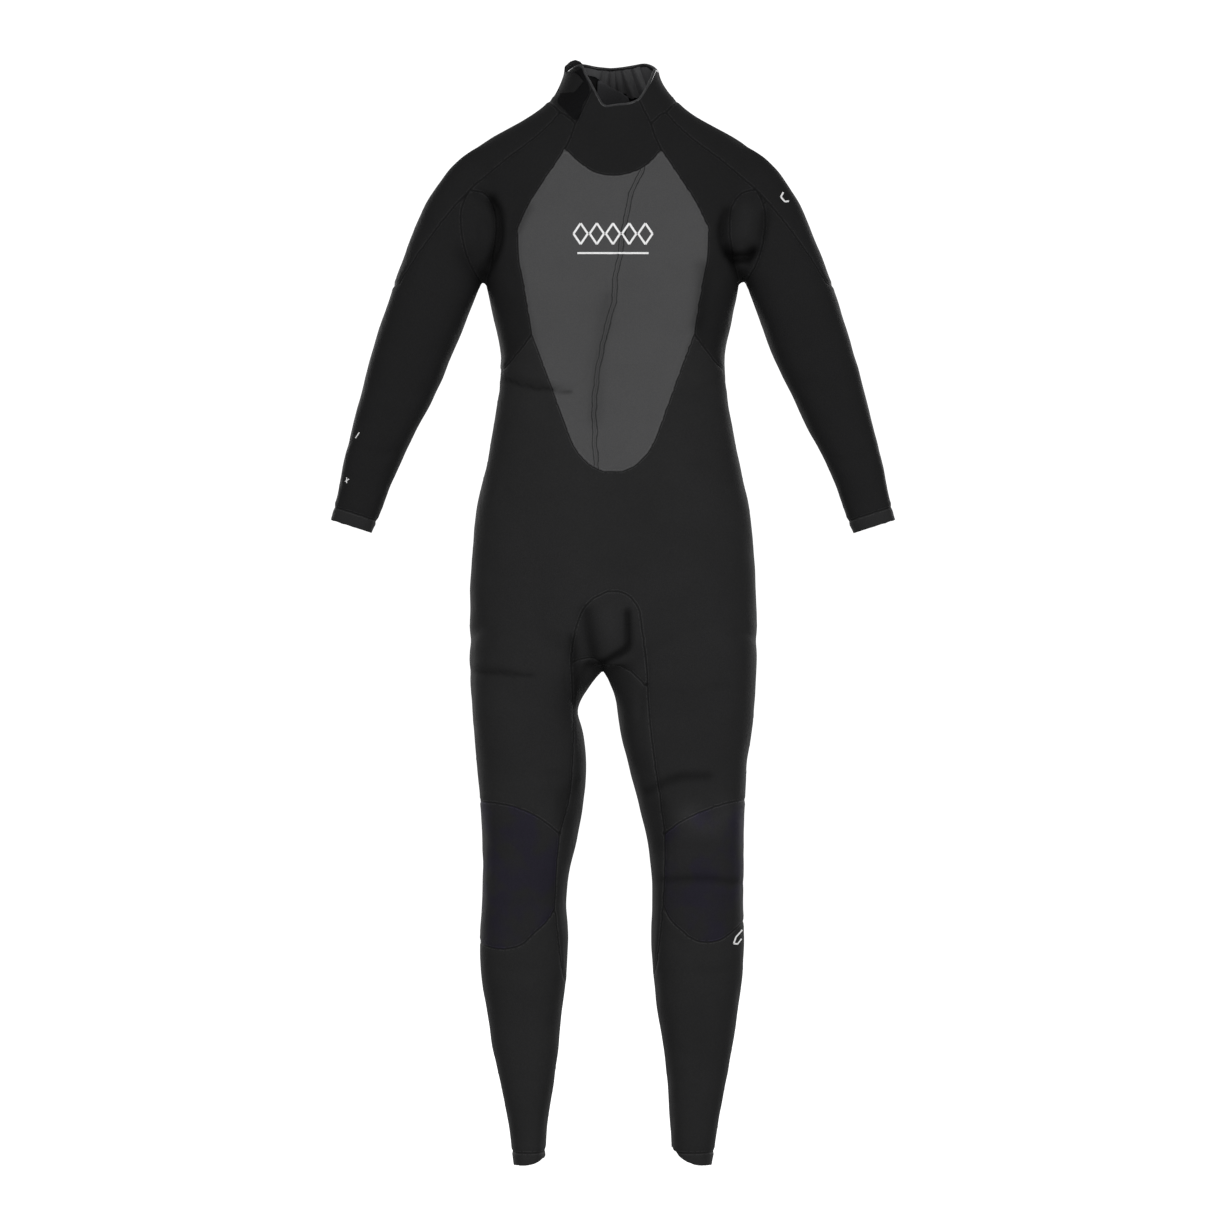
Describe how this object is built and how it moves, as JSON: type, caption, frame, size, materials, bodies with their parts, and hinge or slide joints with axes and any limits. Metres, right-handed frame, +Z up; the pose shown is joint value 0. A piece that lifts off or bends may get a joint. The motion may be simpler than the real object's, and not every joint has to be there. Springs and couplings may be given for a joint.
{
  "type": "full wetsuit",
  "caption": "Full-length wetsuit of neoprene panels with long sleeves and legs, a smooth chest panel, knee pads, a low collar and a back zip.",
  "frame": {"origin": "centre of the neck opening at shoulder height, where a hanger or a form carries the suit", "axes": "+Z up towards the head; the front of the suit faces -Y; +X is the wearer's left"},
  "size_m": [0.706, 0.1624, 1.381],
  "materials": {
    "stretch_neoprene": "thin stretch neoprene faced with black knitted nylon",
    "body_neoprene": "neoprene faced with black knitted nylon",
    "smoothskin": "charcoal grey smooth rubber-faced neoprene",
    "knee_pad": "hard-wearing ribbed black knit over neoprene",
    "hem_neoprene": "black knitted nylon over neoprene, folded at the edge",
    "collar_lining": "dark grey smooth lining",
    "binding": "black elastic edge binding with a slight sheen",
    "hook_and_loop": "black hook and loop patch",
    "zip_tape": "black woven tape",
    "zip_teeth": "black moulded plastic",
    "slider_metal": "cast slider, painted black"
  },
  "bodies": {
    "suit_body": {"chest_panel": "smoothskin", "front_neck_panel": "stretch_neoprene", "front_body_panel": "body_neoprene", "seat_panel": "body_neoprene", "crotch_gusset": "body_neoprene", "collar_binding": "binding", "collar_lining": "collar_lining", "zip_guard_panel": "body_neoprene", "zip_top_stops": "zip_teeth", "zip_bottom_stop": "zip_teeth", "loop_patch": "hook_and_loop", "closure_base": "stretch_neoprene", "left_front_yoke_panel": "stretch_neoprene", "right_front_yoke_panel": "stretch_neoprene", "left_shoulder_panel": "stretch_neoprene", "right_shoulder_panel": "stretch_neoprene", "left_sleeve_head": "stretch_neoprene", "right_sleeve_head": "stretch_neoprene", "left_underarm_gusset": "stretch_neoprene", "right_underarm_gusset": "stretch_neoprene", "left_flank_panel": "stretch_neoprene", "right_flank_panel": "stretch_neoprene", "left_upper_back_panel": "stretch_neoprene", "right_upper_back_panel": "stretch_neoprene", "left_thigh_front_panel": "body_neoprene", "right_thigh_front_panel": "body_neoprene", "left_thigh_back_panel": "body_neoprene", "right_thigh_back_panel": "body_neoprene", "left_inner_thigh_panel": "body_neoprene", "right_inner_thigh_panel": "body_neoprene", "left_knee_pad_upper": "knee_pad", "right_knee_pad_upper": "knee_pad", "left_collar_panel": "stretch_neoprene", "right_collar_panel": "stretch_neoprene", "left_zip_tape": "zip_tape", "right_zip_tape": "zip_tape", "left_zip_teeth": "zip_teeth", "right_zip_teeth": "zip_teeth"},
    "left_upper_arm": {"left_upper_sleeve": "stretch_neoprene"},
    "left_forearm": {"left_forearm_sleeve": "stretch_neoprene", "left_wrist_cuff": "hem_neoprene"},
    "left_shin": {"left_knee_pad_lower": "knee_pad", "left_shin_panel": "body_neoprene", "left_calf_panel": "body_neoprene", "left_ankle_hem": "hem_neoprene"},
    "right_upper_arm": {"right_upper_sleeve": "stretch_neoprene"},
    "right_forearm": {"right_forearm_sleeve": "stretch_neoprene", "right_wrist_cuff": "hem_neoprene"},
    "right_shin": {"right_knee_pad_lower": "knee_pad", "right_shin_panel": "body_neoprene", "right_calf_panel": "body_neoprene", "right_ankle_hem": "hem_neoprene"},
    "slider": {"zip_slider": "slider_metal"},
    "pull": {"zip_pull": "slider_metal"},
    "closure_flap": {"closure_tab": "stretch_neoprene", "hook_patch": "hook_and_loop"}
  },
  "joints": [
    {"name": "left_shoulder_lift", "type": "hinge", "parent": "suit_body", "child": "left_upper_arm", "pos_m": [0.2632, 0, -0.2045], "axis": [0, -1, 0], "range_deg": [0, 50]},
    {"name": "left_elbow_bend", "type": "hinge", "parent": "left_upper_arm", "child": "left_forearm", "pos_m": [0.253, -0.0395, -0.313], "axis": [-0.9404, 0, -0.3401], "range_deg": [0, 90], "stiffness_Nm_per_rad": 0.5, "springref_deg": -5.73},
    {"name": "left_knee_bend", "type": "hinge", "parent": "suit_body", "child": "left_shin", "pos_m": [0.107, 0.0435, -0.965], "axis": [1, 0, 0], "range_deg": [0, 90], "stiffness_Nm_per_rad": 1, "springref_deg": -5.73},
    {"name": "right_shoulder_lift", "type": "hinge", "parent": "suit_body", "child": "right_upper_arm", "pos_m": [-0.2632, 0, -0.2045], "axis": [0, 1, 0], "range_deg": [0, 50]},
    {"name": "right_elbow_bend", "type": "hinge", "parent": "right_upper_arm", "child": "right_forearm", "pos_m": [-0.253, -0.0395, -0.313], "axis": [-0.9404, 0, 0.3401], "range_deg": [0, 90], "stiffness_Nm_per_rad": 0.5, "springref_deg": -5.73},
    {"name": "right_knee_bend", "type": "hinge", "parent": "suit_body", "child": "right_shin", "pos_m": [-0.107, 0.0435, -0.965], "axis": [1, 0, 0], "range_deg": [0, 90], "stiffness_Nm_per_rad": 1, "springref_deg": -5.73},
    {"name": "zip_slide", "type": "slide", "parent": "suit_body", "child": "slider", "axis": [0, 0, -1], "range_m": [0, 0.398]},
    {"name": "pull_swing", "type": "hinge", "parent": "slider", "child": "pull", "pos_m": [0, 0.0702, -0.008], "axis": [1, 0, 0], "range_deg": [0, 150]},
    {"name": "closure_flap_open", "type": "hinge", "parent": "suit_body", "child": "closure_flap", "pos_m": [-0.023, 0.0725, 0.022], "axis": [0, 0, 1], "range_deg": [0, 110]}
  ]
}
